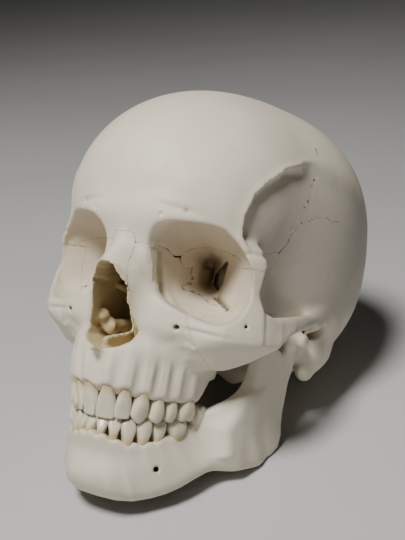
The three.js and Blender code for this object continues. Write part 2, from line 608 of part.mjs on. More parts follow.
function crown(row, tooth, neck, up, side) {
  const [s, width, depth, height, pinch] = tooth;
  let run = 0, spot = null;
  for (let i = 0; i < row.length - 1 && !spot; i++) {
    const l = hypot(row[i + 1][0] - row[i][0], row[i + 1][1] - row[i][1]);
    if (s <= run + l || i === row.length - 2) {
      const ux = (row[i + 1][0] - row[i][0]) / l, uy = (row[i + 1][1] - row[i][1]) / l;
      spot = { x: row[i][0] + ux * (s - run), y: row[i][1] + uy * (s - run), ux, uy };
    }
    run += l;
  }
  const ball = new THREE.SphereGeometry(1, 8, 6);
  const p = ball.getAttribute('position');
  for (let i = 0; i < p.count; i++) {
    const h = p.getY(i);
    const round = 1 / max(hypot(p.getX(i), p.getZ(i)), 0.001);
    const ring = Math.round((1 - h * h > 0.9 ? 0 : sign(h) * (abs(h) > 0.99 ? 3 : abs(h) > 0.8 ? 2 : 1)) + 3);
    const wide = [0, 0.8, 1, 1, 1, 0.84, 0][ring];
    const t = [0, 0.05, 0.3, 0.55, 0.84, 0.985, 1][ring];
    const a = p.getX(i) * round * wide * width / 2 * (0.74 + 0.3 * t);
    const b = p.getZ(i) * round * wide * depth / 2 * (0.95 - pinch * t * t) - (pinch > 0.5 ? 0.8 * t : 0);
    const v = (-ROOT + (height + ROOT) * t) * up;
    const lx = a * spot.ux - b * -spot.uy, ly = a * spot.uy - b * spot.ux;
    p.setXYZ(i, (spot.x + lx) * side, spot.y + ly, neck + v);
  }
  const body = solidOf(ball);
  return body.volume() < 0 ? solidOf(flipped(ball)) : body;
}

const skull = boneSet(largest(solid(simplify(surface(cranium, [-76, -114, -48], [76, 94, 116]), CRANIUM_TRIANGLES))));
let jaw = largest(solid(simplify(surface(mandible, [-66, -104, -96], [66, 6, 9]), JAW_TRIANGLES)));
for (const side of [1, -1]) {
  for (const tooth of UPPER_TEETH) skull.maxilla = skull.maxilla.add(crown(UPPER_ROW, tooth, UPPER_NECK, -1, side));
  LOWER_TEETH.forEach((tooth, i) => {
    jaw = jaw.add(crown(LOWER_ROW, tooth, LOWER_NECKS[i], 1, side));
  });
}
skull.maxilla_left = half(skull.maxilla, 1);
skull.maxilla_right = half(skull.maxilla, -1);
delete skull.maxilla;
const grown = Object.values(skull).reduce((a, b) => a.add(b));
skull.mandible = largest(jaw.subtract(grown));

// The skull is laid back on the angles of its jaw and the back of its head, then let down to the floor
const lean = new THREE.Matrix4().makeRotationX(-REST_TILT);
const laid = {};
let floor = Infinity, front = Infinity, rear = -Infinity, sideLow = Infinity, sideHigh = -Infinity;
for (const [name, body] of Object.entries(skull)) {
  laid[name] = body.transform(lean.elements);
  const box = laid[name].boundingBox();
  floor = min(floor, box.min[2]);
  front = min(front, box.min[1]);
  rear = max(rear, box.max[1]);
  sideLow = min(sideLow, box.min[0]);
  sideHigh = max(sideHigh, box.max[0]);
}
const toFloor = [-(sideLow + sideHigh) / 2, -(front + rear) / 2, -floor - FLOOR_CUT];
const slab = 400;
const below = prism([[-slab, -slab], [slab, -slab], [slab, slab], [-slab, slab]], 'z', floor - 100, floor + FLOOR_CUT);

const COLOURS = {
  frontal: 0xd9d2c3, parietal_left: 0xd3ccbd, parietal_right: 0xd3ccbd, occipital: 0xcfc7b6,
  temporal_left: 0xcdc6b8, temporal_right: 0xcdc6b8, sphenoid: 0xc7bead, zygomatic_left: 0xdad2c6,
  zygomatic_right: 0xdad2c6, nasal_bones: 0xdcd5ca, maxilla_left: 0xd8cfc3, maxilla_right: 0xd8cfc3,
  mandible: 0xd6cdbf,
};

const group = new THREE.Group();
group.name = 'human_skull';
for (const [name, body] of Object.entries(laid)) {
  const kept = largest(body.subtract(below).translate(toFloor));
  const data = kept.getMesh();
  const geometry = new THREE.BufferGeometry();
  geometry.setAttribute('position', new THREE.BufferAttribute(new Float32Array(data.vertProperties), 3));
  geometry.setIndex(new THREE.BufferAttribute(new Uint32Array(data.triVerts), 1));
  geometry.computeVertexNormals();
  const paint = new THREE.MeshStandardMaterial({ color: COLOURS[name], roughness: 0.62, metalness: 0 });
  const mesh = new THREE.Mesh(geometry, paint);
  mesh.name = name;
  group.add(mesh);
}

export default group;
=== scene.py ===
"""Human skull with its lower jaw closed, as dry pale bone."""

from concurrent.futures import ThreadPoolExecutor
import math

import bpy
import numpy as np
from mathutils import Matrix, Vector


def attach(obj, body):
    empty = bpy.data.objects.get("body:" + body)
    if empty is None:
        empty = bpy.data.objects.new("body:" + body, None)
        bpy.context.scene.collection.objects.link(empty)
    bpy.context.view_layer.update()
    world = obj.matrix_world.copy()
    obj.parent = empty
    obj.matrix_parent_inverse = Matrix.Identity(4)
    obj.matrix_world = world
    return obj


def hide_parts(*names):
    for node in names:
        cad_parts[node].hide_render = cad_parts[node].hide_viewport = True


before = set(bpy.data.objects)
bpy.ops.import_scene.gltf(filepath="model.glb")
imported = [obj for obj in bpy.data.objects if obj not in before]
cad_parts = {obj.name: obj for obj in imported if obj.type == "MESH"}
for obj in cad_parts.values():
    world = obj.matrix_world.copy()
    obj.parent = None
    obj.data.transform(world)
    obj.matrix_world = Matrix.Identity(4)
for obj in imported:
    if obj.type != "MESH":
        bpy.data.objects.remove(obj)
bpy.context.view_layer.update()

# Sizes in millimetres and degrees. The skull is described upright: X to its left, Y back, Z up,
# with the origin midway between the ear openings.
REST_TILT = math.radians(26.6)
REST_SHIFT = (-0.023, 8.4274, 52.7171)
STEP = 0.78
TOOTH_STEP = 0.3
BLOCK = 8
BLOCK_REACH = 1.17
BLOCK_ROWS = 60
POINT_ROWS = 30000
SEAM = 0.1
BRAINCASE_WALL = 6.5
SHARP_EDGE = math.radians(52)
HOLLOW_DEPTH = 9
DENT_DEPTH = 2.2


# Blends and simple solids: every field is negative inside and positive outside
def smin(a, b, k):
    h = np.maximum(k - np.abs(a - b), 0) / k
    return np.minimum(a, b) - h * h * k * 0.25


def smax(a, b, k):
    return -smin(-a, -b, k)


def step(low, high, v):
    t = np.clip((v - low) / (high - low), 0, 1)
    return t * t * (3 - 2 * t)


def bell(v, middle, width):
    return np.exp(-(((v - middle) / width) ** 2))


def ellipsoid(x, y, z, centre, radii):
    dx = (x - centre[0]) / radii[0]
    dy = (y - centre[1]) / radii[1]
    dz = (z - centre[2]) / radii[2]
    near = np.sqrt(dx * dx + dy * dy + dz * dz) + 1e-9
    slope = np.sqrt((dx / radii[0]) ** 2 + (dy / radii[1]) ** 2 + (dz / radii[2]) ** 2) + 1e-9
    return near * (near - 1) / slope


def oval(u, v, cu, cv, ru, rv):
    p = (u - cu) / ru
    q = (v - cv) / rv
    near = np.sqrt(p * p + q * q) + 1e-9
    slope = np.sqrt((p / ru) ** 2 + (q / rv) ** 2) + 1e-9
    return near * (near - 1) / slope


def tube(x, y, z, points, radii, k=2.0, scale=(1, 1, 1)):
    """A rod along a path, its radius running from one value to the next; scale flattens the section."""
    sx, sy, sz = scale
    best = None
    for i in range(len(points) - 1):
        a, b = points[i], points[i + 1]
        ux = (b[0] - a[0]) * sx
        uy = (b[1] - a[1]) * sy
        uz = (b[2] - a[2]) * sz
        px = (x - a[0]) * sx
        py = (y - a[1]) * sy
        pz = (z - a[2]) * sz
        t = np.clip((px * ux + py * uy + pz * uz) / (ux * ux + uy * uy + uz * uz), 0, 1)
        px = px - ux * t
        py = py - uy * t
        pz = pz - uz * t
        d = np.sqrt(px * px + py * py + pz * pz) - (radii[i] + (radii[i + 1] - radii[i]) * t)
        best = d if best is None else smin(best, d, k)
    return best


def curve(v, at, values):
    return np.interp(v, at, values)


def outline(u, v, points):
    """Distance to a closed outline in a plane, negative inside."""
    d = np.full(np.shape(u), 1e9)
    s = np.ones(np.shape(u))
    j = len(points) - 1
    for i in range(len(points)):
        ex = points[j][0] - points[i][0]
        ey = points[j][1] - points[i][1]
        wx = u - points[i][0]
        wy = v - points[i][1]
        t = np.clip((wx * ex + wy * ey) / (ex * ex + ey * ey), 0, 1)
        bx = wx - ex * t
        by = wy - ey * t
        d = np.minimum(d, bx * bx + by * by)
        above = v >= points[i][1]
        below = v < points[j][1]
        left = ex * wy > ey * wx
        s = np.where((above & below & left) | (~above & ~below & ~left), -s, s)
        j = i
    return s * np.sqrt(d)


def along(x, y, points):
    """Distance to a path seen from above, positive outside, and the length along it."""
    best = np.full(np.shape(x), 1e9)
    arc = np.zeros(np.shape(x))
    side = np.ones(np.shape(x))
    run = 0.0
    for (px, py), (qx, qy) in zip(points, points[1:]):
        ux = qx - px
        uy = qy - py
        size = math.hypot(ux, uy)
        t = np.clip(((x - px) * ux + (y - py) * uy) / (size * size), 0, 1)
        dx = x - px - ux * t
        dy = y - py - uy * t
        d = np.sqrt(dx * dx + dy * dy)
        near = d < best
        best = np.where(near, d, best)
        arc = np.where(near, run + t * size, arc)
        side = np.where(near, np.sign(dx * uy - dy * ux), side)
        run += size
    return best * side, arc


def ripple(v, seed):
    """A wavy line with no plain repeat, between about -1 and 1."""
    slow = 0.5 * np.sin(v + seed) + 0.3 * np.sin(v * 2.31 + seed * 1.7)
    return slow + 0.25 * np.sin(v * 4.73 + seed * 2.9)


def lumps(x, y, z, size, seed):
    """Low rounded unevenness, between about -1 and 1."""
    a = np.sin((x + 0.45 * z) / size + seed) * np.sin((y - 0.4 * x) / size * 1.13 + seed * 1.3)
    b = np.sin((z + 0.5 * y) / size * 0.91 + seed * 2.1) * np.sin((x - 0.6 * y) / size * 1.7 + seed)
    return 0.5 * (a + b)


# Braincase and temple
TEMPORAL = [(-60, 18), (-67, 25), (-70.5, 34), (-71.5, 44), (-69, 53), (-61, 61.5), (-48, 69.5),
            (-30, 76), (-8, 80), (16, 77), (38, 67), (54, 50), (60, 32), (52, 14), (36, 4), (10, 0),
            (-20, -6), (-56, -8)]


def vault(x, y, z):
    ax = np.abs(x)
    f = ellipsoid(x, y, z, [0, -45.9, 46.6], [53.7, 47.7, 49.5])
    f = smin(f, ellipsoid(x, y, z, [0, 9.9, 58.1], [62.0, 66.7, 52.6]), 38)
    f = smin(f, ellipsoid(ax, y, z, [26.8, 17.3, 33.6], [43.3, 63.6, 62.9]), 14)
    return smin(f, ellipsoid(x, y, z, [0, 41.7, 14.8], [18.5, 44.6, 45.4]), 38)


def temple(y, z):
    """How far the temporal hollow is sunk below its raised line."""
    d = -outline(y, z, TEMPORAL) + 0.5 * ripple(z * 0.35 + y * 0.2, 1.0) * step(-76, -60, y)
    wide = 3.5 + 14 * step(-50, 0, y)
    sunk = step(-1, wide, d) * (3.6 - 2.6 * step(-50, 10, y))
    return sunk - 0.7 * bell(d, 0, 1.8) * step(-20, -50, y)


# Eye sockets and nose
def orbit(ax, y, z):
    inner = 10.8 + 0.08 * np.maximum(y + 76, 0)
    outer = np.where(y < -65, 51 + (-65 - y) * 0.3, 51 - (y + 65) * 1.12)
    top = 35.6 + 2 * step(-90, -78, y) - np.maximum(y + 76, 0) * 0.42
    bottom = -2.2 - 1.5 * step(-86, -74, y) + np.maximum(y + 70, 0) * 0.34
    a = np.maximum((outer - inner) / 2, 0.6)
    b = np.maximum((top - bottom) / 2, 0.6)
    u = np.abs(ax - inner - a) / a
    v = np.abs(z - ((top + bottom) / 2 - 0.2 * (ax - 31))) / b
    return ((u**2.6 + v**2.6 + 1e-9) ** (1 / 2.6) - 1) * np.minimum(a, b) * 0.9


PEAR_Z = [-22.5, -20.5, -17.5, -13, -9, -6, -1, 3, 6, 9, 12, 14, 15]
PEAR_W = [0, 7.5, 11.4, 12.4, 11, 9.9, 8.8, 8.8, 8.4, 6.8, 5, 3.8, 0]
RIDGE_Z = [-30, -22, -16, -8, 0, 6, 12.8, 19, 25.5, 31, 42]
RIDGE_Y = [-89, -95, -101.5, -106, -108.5, -109.5, -107.5, -101.5, -94, -89.5, -90]


def pear(x, ax, z):
    """The pear-shaped nasal opening in front view, its upper edge broken a little."""
    edge = 0.5 * ripple(x * 0.9 + z * 0.7, 2.0) * step(2, 8, z)
    return np.maximum((ax - curve(z, PEAR_Z, PEAR_W)) * 0.9, np.maximum(z - 15, -22 - z)) + edge


def nose(ax, y, z):
    front = curve(z, RIDGE_Z, RIDGE_Y) + 1.9 * (np.sqrt(ax * ax + 14) - 3.74)
    f = smax((front - y) * 0.52, ax - 17, 8)
    f = smax(f, np.maximum(-24 - z, z - 38), 10)
    return smax(f, y + 74, 6)


def upper_face(ax, y, z):
    dip = bell(z, 10, 9)
    f = oval(ax, y, 0, -44, 60 - 2.4 * dip, 45.5 - 1.6 * dip)
    f = smax(f, (ax - 51 + 1.12 * (y + 65)) / 1.5 - (3.4 + 5.6 * step(-55, -64, y)), 3)
    f = smax(f, z - (37 - 0.002 * ax * ax), 9)
    f = smax(f, -14 - z, 8)
    return smax(f, y + 34, 8)


# Cheekbone, arch and upper jaw
ZYGOMA = [(-78, -8), (-72, 2), (-65, 9), (-59, 4), (-50, 1.5), (-31, 4), (-12, 5.5), (6, 6), (6, 0),
          (-8, -1.5), (-13, -0.5), (-20, -1.8), (-31, -3.4), (-39, -5.6), (-45, -10), (-50, -16),
          (-55, -21.4), (-61, -25.4), (-68, -26), (-74, -22), (-78, -16)]
CHEEK = [(36, -77), (43, -72), (47.5, -67), (51.5, -61.5), (55.5, -55), (59.7, -47.5), (62.6, -38),
         (63.8, -28), (63.4, -16), (61.2, -4), (59, 8)]
UPPER_ROW = [(0, -93.2), (4.3, -92.6), (10.9, -89.9), (15.8, -85), (19.4, -78.9), (22.2, -72.2),
             (25.3, -63.7), (27, -56), (27.4, -48)]
UPPER_SPOTS = [4.4, 12.1, 19.7, 26.9, 34.1, 43.0]


def zygoma(ax, y, z):
    n, _ = along(ax, y, CHEEK)
    half = 2.3 + 2.4 * step(-44, -62, y) + 0.8 * step(-20, 0, y)
    lean = 0.8 * np.maximum(-11 - z, 0) * step(-34, -52, y) + 0.16 * np.maximum(z + 8, 0)
    return smax(outline(y, z, ZYGOMA), np.abs(n + lean) - half, 3.4)


def upper_gum(ax, y, z):
    """The ridge that holds the upper teeth, swollen over each root."""
    n, s = along(ax, y, UPPER_ROW)
    swell = sum(bell(s, spot, 2.0) for spot in UPPER_SPOTS) * step(-20, -31, z) * step(50, 40, s)
    between = sum(bell(s, spot, 2.6) for spot in UPPER_SPOTS)
    crest = -40.6 + 9 * step(46, 55, s) + 1.9 * step(30, 8, s) + 1.5 * np.clip(between, 0, 1)
    body = np.abs(n + 0.6) - (3.9 + 1.5 * swell + 0.1 * (z + 41))
    f = smax(body, crest - z, 2.2)
    return smax(f, z + 16, 8)


def maxilla(ax, y, z):
    f = oval(ax, y, 0, -56, 30 + 12 * step(-29, -10, z), 36.6 - 2.4 * step(-41, -16, z))
    f = smax(f, y + 48 - 0.3 * (z + 20), 6)
    f = smax(f, -41 - z, 3)
    f = smax(f, z - 4, 8)
    f = f + 4.5 * bell(ax, 19, 8) * bell(z, -22, 11) * step(-70, -78, y)
    return f + 4 * bell(ax, 29, 7) * bell(z, -20, 8) * step(-60, -72, y)


def face(x, y, z):
    ax = np.abs(x)
    f = smin(upper_face(ax, y, z), maxilla(ax, y, z), 6)
    f = smin(f, nose(ax, y, z), 5)
    f = smin(f, ellipsoid(ax, y, z, [9, -84, 39], [16, 9.5, 7.5]), 9)
    f = smin(f, zygoma(ax, y, z), 6)
    f = smin(f, upper_gum(ax, y, z), 5)
    return smin(f, tube(x, y, z, [(0, -84, -23), (0, -95, -22.3), (0, -103, -21.6)], [4, 3, 1.6]), 3)


# Base: slope behind the nose, mastoid, ear bone, condyles and the plates behind the palate
PLATE = [(-50, 0), (-32, 0), (-29, -14), (-32, -27), (-38, -33), (-47, -34), (-50, -20)]
SLOPE = [(0, -44, -2), (0, -24, -12), (0, -6, -25)]
MASTOID = [(57, 14, 0), (55, 12, -12), (53.5, 8, -22.5)]
EAR_BONE = [(22, -16, -12), (44, -2, -12)]
NECK_KNOB = [(13.5, -6, -27), (18, 2, -30), (20, 10, -28)]


def base(x, y, z):
    ax = np.abs(x)
    f = smax(ellipsoid(x, y, z, [0, -42, 14], [44, 17, 19]), -6 - z, 4)
    f = smin(f, tube(x, y, z, SLOPE, [12, 10, 6.5], 4, (0.75, 1, 1)), 5)
    f = smin(f, tube(ax, y, z, MASTOID, [10, 9.5, 6], 5, (1.25, 1, 1)), 6)
    f = smin(f, tube(ax, y, z, EAR_BONE, [7, 8], 4), 5)
    f = smin(f, tube(ax, y, z, NECK_KNOB, [5, 5.5, 5], 3), 3)
    f = smin(f, ellipsoid(x, y, z, [0, 73, -9], [24, 8, 5.5]), 16)
    return smin(f, smax(outline(y, z, PLATE), np.abs(ax - 17 + 0.25 * (y + 40)) - 1.8, 2), 3)


CURLED_SHELF = [(13.5, -88, -4), (10.5, -84, -9), (8.5, -79, -13.5), (8, -60, -12)]
UPPER_SHELF = [(8.5, -76, 5), (6, -64, 3)]


def nose_inside(x, y, z):
    """The open chamber behind the nasal opening, where a middle wall and curled shelves stand."""
    ax = np.abs(x)
    room = ellipsoid(x, y, z, [0, -64, -6], [13.5, 34, 16.5])
    room = smin(room, ellipsoid(x, y, z, [0, -72, 8], [8.5, 26, 17]), 5)
    bend = 1.8 * np.sin((y + 90) * 0.09) + 0.8 * np.sin(z * 0.35)
    wall_front = -79 - 18 * step(-13, -18, z) - y + 0.25 * np.abs(z + 6)
    wall = smax(np.abs(x - bend) - 0.7 - 0.8 * step(-12, -20, z), wall_front, 1)
    shelf = tube(ax, y, z, CURLED_SHELF, [1.2, 2.3, 3, 2.6], 3)
    shelf = shelf + 0.9 * lumps(x, y, z, 1.7, 0.7)
    small = tube(ax, y, z, UPPER_SHELF, [1.6, 2.2], 3)
    kept = smin(smin(wall, shelf, 1.5), small, 1.5)
    way_in = np.maximum(pear(x, ax, z), np.maximum(-125 - y, y + 76))
    return smax(smin(way_in, room, 2), -kept, 1)


TEAR_CREST = [(7.5, -84.5, 25), (9, -84, 20), (9.8, -83.6, 14), (12, -82.6, 8)]
TEAR_GROOVE = [(10.2, -79, 22), (12.4, -78, 15), (14.2, -77, 8), (16, -76, 1)]
EAR_WAY = [(78, 2, -2), (40, -3, -4)]
MASTOID_NOTCH = [(42, 0, -30), (43, 34, -24)]


def cranium(x, y, z):
    ax = np.abs(x)
    f = vault(x, y, z) + temple(y, z) * step(20, 36, ax)
    f = smin(f, base(x, y, z), 5)
    f = smin(f, face(x, y, z), 6)
    socket = orbit(ax, y, z)
    f = smax(f, -socket, 1.6)
    f = smin(f, tube(ax, y, z, TEAR_CREST, [1.4, 1.9, 2.1, 1.8]), 5)
    f = smax(f, -tube(ax, y, z, TEAR_GROOVE, [1.2, 2.2, 2.5, 1.4]), 4)
    f = smax(f, -nose_inside(x, y, z), 0.9)
    f = smax(f, -ellipsoid(x, y, z, [0, -60, -46], [19, 29, 14.5]), 3)
    f = smax(f, -ellipsoid(x, y, z, [0, -34, -26], [12.5, 15, 16]), 3)
    f = smax(f, -tube(ax, y, z, EAR_WAY, [4.2, 3.4]), 1.2)
    f = smax(f, -ellipsoid(ax, y, z, [52, -14, -5], [14, 8.5, 7]), 2.5)
    f = smax(f, -tube(ax, y, z, MASTOID_NOTCH, [3.2, 3.2]), 2)
    floor = 42 - 40 * step(-44, -30, y) - 22 * step(-12, 8, y)
    floor = floor + 12 * step(16, 8, ax) * step(-50, -36, y) * step(4, -8, y)
    brain = smax(smax(vault(x, y, z) + BRAINCASE_WALL, floor - z, 8), 4.5 - socket, 3)
    f = smax(f, -brain, 1.5)
    f = smax(f, -np.maximum(oval(x, y, 0, 14, 15, 18.5), np.abs(z + 26) - 18), 3)
    f = smax(f, -openings(ax, y, z), 0.7)
    return f + creases(x, ax, y, z)


def creases(x, ax, y, z):
    """Shallow dents over the inner brow, below the eye socket and on the joint of its outer rim."""
    front = step(-60, -70, y)
    dent = 1.1 * bell(z - 41.8 + 0.12 * (ax - 20), 0, 1.6) * bell(ax, 22, 8) * step(-80, -86, y)
    dent = dent + 0.7 * bell(z + 9.2 + 0.08 * (ax - 38), 0, 0.9) * bell(ax, 39, 9) * front
    dent = dent - 0.5 * bell(z + 7.4 + 0.08 * (ax - 38), 0, 1.2) * bell(ax, 39, 9) * front
    dent = dent + 0.8 * bell(z, 27.4, 1.1) * step(47, 50, ax) * step(-52, -58, y)
    pits = np.minimum(tube(ax, y, z, [(17, -97, 37.6), (17, -90, 38.4)], [0.8, 0.6]),
                      tube(ax, y, z, [(26.6, -92, 41), (25.6, -85, 41)], [0.8, 0.6]))
    return dent + 1.2 * step(0.6, -0.6, pits)


UPPER_CLEFT = [(27.2, 24), (26.2, 18.8), (25.4, 13.6), (23.3, 9.8), (20.4, 12.5), (20.8, 17.4),
               (23.4, 20.6)]
LOWER_CLEFT = [(25, -45), (31.5, -50.6), (38.8, -57.6)]


def openings(ax, y, z):
    """Optic canal, the clefts of the eye socket and the small holes of the face."""
    f = tube(ax, y, z, [(18, -46, 20), (13, -33, 22)], [2.9, 2.2])
    slant = ax + 0.4 * (y + 42)
    f = np.minimum(f, np.maximum(outline(slant, z, UPPER_CLEFT) - 0.3, np.abs(y + 40) - 10))
    n, s = along(ax, y, LOWER_CLEFT)
    ends = np.maximum(np.abs(z - 1) - 8, np.abs(s - 9) - 9)
    f = np.minimum(f, np.maximum(np.abs(n) - 0.9 + 0.02 * s, ends))
    f = np.minimum(f, tube(ax, y, z, [(28, -86, -10), (27, -74, -3)], [1.1, 1.3]))
    return np.minimum(f, tube(ax, y, z, [(56, -72, -4), (50, -64, -4)], [0.75, 0.75]))


# Lower jaw
JAW_TOP = [(0, -90.6), (5, -89.8), (9.7, -87.1), (14, -82.6), (17.6, -77.2), (21.1, -69.7),
           (25.3, -59.6),
           (29.6, -49.6), (36, -40), (42, -28)]
JAW_LOW = [(0, -78.8), (8, -78), (14.5, -75), (20.5, -69.6), (26.5, -63.2), (31.8, -56.2), (37.5, -48),
           (42, -38), (45, -28), (47.5, -16)]
CREST = [-58.2, -58.8, -60.6, -61.2, -60.4, -58.2, -54.6, -49, -44, -40]
KEEL = [-88.4, -88.4, -87.8, -86, -83.4, -80.2, -76, -72.4, -70.6, -67]
LOWER_SPOTS = [0.52, 1.5, 2.55, 3.6, 4.55, 5.6, 6.7]
RAMUS = [(-50, -52), (-43.5, -43), (-39.5, -35), (-36.5, -26), (-35.5, -14), (-34, -4), (-30, 1),
         (-26, -4), (-22, -11.5), (-16.5, -14.5), (-12.5, -12), (-11, -5), (-5, -5), (-3, -12),
         (-6.5, -30), (-6.5, -44), (-5, -55), (-7, -61.5), (-12.5, -65.8), (-26, -68.6), (-38, -68.6),
         (-48, -64)]
JOINT_KNOB = [(44.5, -9.5, -8), (51.5, -11.5, -6.5), (58.5, -13.5, -8)]


def jaw_body(ax, y, z):
    lift = np.clip((z + 88) / 26, -0.2, 1.3)
    best = np.full(np.shape(ax), 1e9)
    arc = np.zeros(np.shape(ax))
    side = np.ones(np.shape(ax))
    for i in range(len(JAW_TOP) - 1):
        ends = []
        for low, top in ((JAW_LOW[i], JAW_TOP[i]), (JAW_LOW[i + 1], JAW_TOP[i + 1])):
            ends.append((low[0] + (top[0] - low[0]) * lift, low[1] + (top[1] - low[1]) * lift))
        (px, py), (qx, qy) = ends
        ux = qx - px
        uy = qy - py
        s = np.clip(((ax - px) * ux + (y - py) * uy) / (ux * ux + uy * uy), 0, 1)
        dx = ax - px - ux * s
        dy = y - py - uy * s
        d = np.sqrt(dx * dx + dy * dy)
        near = d < best
        best = np.where(near, d, best)
        arc = np.where(near, i + s, arc)
        side = np.where(near, np.sign(dx * uy - dy * ux), side)
    n = best * side
    at = list(range(len(CREST)))
    swell = sum(bell(arc, spot, 0.36) for spot in LOWER_SPOTS)
    top = curve(arc, at, CREST) + 0.9 - 1.7 * np.clip(swell, 0, 1) * step(7.4, 6.6, arc)
    low = curve(arc, at, KEEL)
    chin = 4.2 * step(3, 0.5, arc) * bell(z, -79, 8.5)
    waist = 1.2 * step(4.5, 1, arc) * bell(z, -68, 5)
    thick = 5 + 0.7 * step(3, 6, arc) - 1.3 * step(-72, -60, z) + 0.5 * swell * step(-76, -64, z)
    body = np.where(n > 0, n - chin + waist - thick, -n - thick)
    return smax(smax(body, z - top, 2.2), low - z, 7)


def ramus(ax, y, z):
    middle = 46.2 + 0.22 * (y + 22) + 0.04 * (z + 40)
    thick = 2.9 + 1.5 * step(-48, -64, z) + 1.2 * step(-32, -42, y) * step(-30, -50, z)
    f = smax(outline(y, z, RAMUS), np.abs(ax - middle) - thick, 3.6)
    return smin(f, tube(ax, y, z, JOINT_KNOB, [3.4, 4.2, 3.2], 3), 5)


def jaw(x, y, z):
    ax = np.abs(x)
    f = smin(jaw_body(ax, y, z), ramus(ax, y, z), 10)
    f = smax(f, -tube(ax, y, z, [(29, -82, -69.5), (21, -71, -72.5)], [1.5, 1.2]), 0.6)
    return np.maximum(f, 0.5 - cranium(x, y, z))


# Teeth: distance along the row, width, depth, height of crown and kind
INCISOR, CANINE, PREMOLAR, MOLAR = range(4)
UPPER_TEETH = [(4.4, 8.4, 7.4, 14.2, INCISOR), (12.1, 7, 6.6, 13, INCISOR),
               (19.6, 7.6, 8.2, 13.6, CANINE), (27, 7.2, 8.8, 12, PREMOLAR),
               (34.2, 7, 9, 11.2, PREMOLAR), (43.1, 10.5, 10.6, 10.6, MOLAR)]
UPPER_NECKS = [-37.9, -38.3, -38.9, -39.6, -39.9, -39.9]
LOWER_TEETH = [(2.7, 5.3, 5.8, 9, INCISOR), (8.2, 5.8, 6.2, 9.2, INCISOR),
               (14.4, 6.8, 7.4, 10.6, CANINE), (21.3, 7.1, 7.6, 10.6, PREMOLAR),
               (28.4, 7.2, 8, 9.8, PREMOLAR), (37.9, 10.8, 9.8, 9, MOLAR), (49, 10.4, 9.6, 10.4, MOLAR)]
LOWER_NECKS = [-58.6, -59, -61, -60.6, -59.4, -58.2, -53.4]
LOWER_ROW = [(0, -90.6), (2.6, -90.4), (7, -88.9), (11.7, -85.2), (15.9, -80), (18.9, -74.2),
             (23.1, -64.8), (27.1, -53.6), (29.4, -46.6)]


def tooth(sx, n, v, width, depth, height, kind):
    """One tooth: sx along the row, n outwards, v from the neck towards the biting edge."""
    u = np.clip(v / height, -1, 1.1)
    root = step(0, -1, u)
    a = width * 0.5 * (0.66 + 0.35 * step(-0.02, 0.6, u) - 0.05 * step(0.7, 1, u) - 0.42 * root)
    if kind == INCISOR:
        b = depth * 0.5 * (0.9 - 0.66 * step(0.1, 1, u) - 0.35 * root)
        out = n + 0.9 * u
        round_edge = 1.0
    elif kind == CANINE:
        b = depth * 0.5 * (0.94 - 0.5 * step(0.3, 1, u) - 0.35 * root)
        a = a * (1 - 0.45 * step(0.68, 1.05, u))
        out = n + 0.5 * u
        round_edge = 1.6
    else:
        b = depth * 0.5 * (0.88 + 0.14 * step(-0.1, 0.4, u) - 0.26 * step(0.5, 1.05, u) - 0.35 * root)
        out = n
        round_edge = 2.0
    squareness = 2.7
    ring = (np.abs(sx) / a) ** squareness + (np.abs(out) / b) ** squareness + 1e-9
    f = (ring ** (1 / squareness) - 1) * np.minimum(a, b)
    top = v - height
    if kind == CANINE:
        top = top + 0.45 * np.abs(sx)
    if kind == PREMOLAR:
        top = top + 0.16 * np.abs(sx) ** 1.5 + bell(out, 0, 1.1)
    if kind == MOLAR:
        top = top + 1.1 * bell(out, 0, 1.3) + 0.8 * bell(sx, 0, 1.1)
    return smax(smax(f, top, round_edge), -v - height * 0.8, 3)


def place(row, s):
    """Point and direction on a row at length s."""
    run = 0.0
    for (px, py), (qx, qy) in zip(row, row[1:]):
        size = math.hypot(qx - px, qy - py)
        if s <= run + size or (qx, qy) == row[-1]:
            ux = (qx - px) / size
            uy = (qy - py) / size
            return px + ux * (s - run), py + uy * (s - run), ux, uy
        run += size


# Bones and the seams between them
CHEEK_FRONT = [(40, 21), (80, 21), (80, -34), (42, -34), (37, -20), (33, -8), (30, 0), (36, 10)]
CHEEK_ABOVE = [(26, -95), (80, -95), (80, -35), (57, -38), (55, -46), (48, -56), (40, -60), (30, -66)]
TEMPORAL_SIDE = [(-41, 14), (-41, 32), (-35, 46), (-22, 51.5), (-6, 50.5), (8, 46), (22, 39),
                 (34, 22), (46, 6), (46, -8), (30, -20), (22, -50), (-20, -50), (-26, -10), (-41, -8)]
NASAL_FRONT = [(-5, 29), (5, 29), (6.5, 18), (9.5, 4), (-9.5, 4), (-6.5, 18)]
FACE_FRONT = [(-11, 25), (11, 25), (14, 8), (26, 3), (60, 0), (60, -60), (-60, -60), (-60, 0),
              (-26, 3), (-14, 8)]
SPHENOID_SIDE = [(-66, 18), (-58, 26), (-44, 31), (-32, 30), (-27, 14), (-20, -4), (-16, -20),
                 (-22, -50), (-70, -50), (-70, 0)]
FRONTAL_SIDE = [(-130, 150), (-4, 150), (-12, 108), (-21, 76), (-34, 52), (-44, 26), (-60, 4), (-130, 4)]
OCCIPITAL_SIDE = [(120, 70), (88, 52), (66, 34), (48, 8), (34, -6), (0, -8), (-24, -6), (-24, -60),
                  (120, -60)]


def cheek_region(ax, y, z):
    return np.maximum(outline(ax, z, CHEEK_FRONT), outline(ax, y, CHEEK_ABOVE))


def face_region(ax, y, z):
    return np.maximum(outline(ax, z, FACE_FRONT), y + 48)


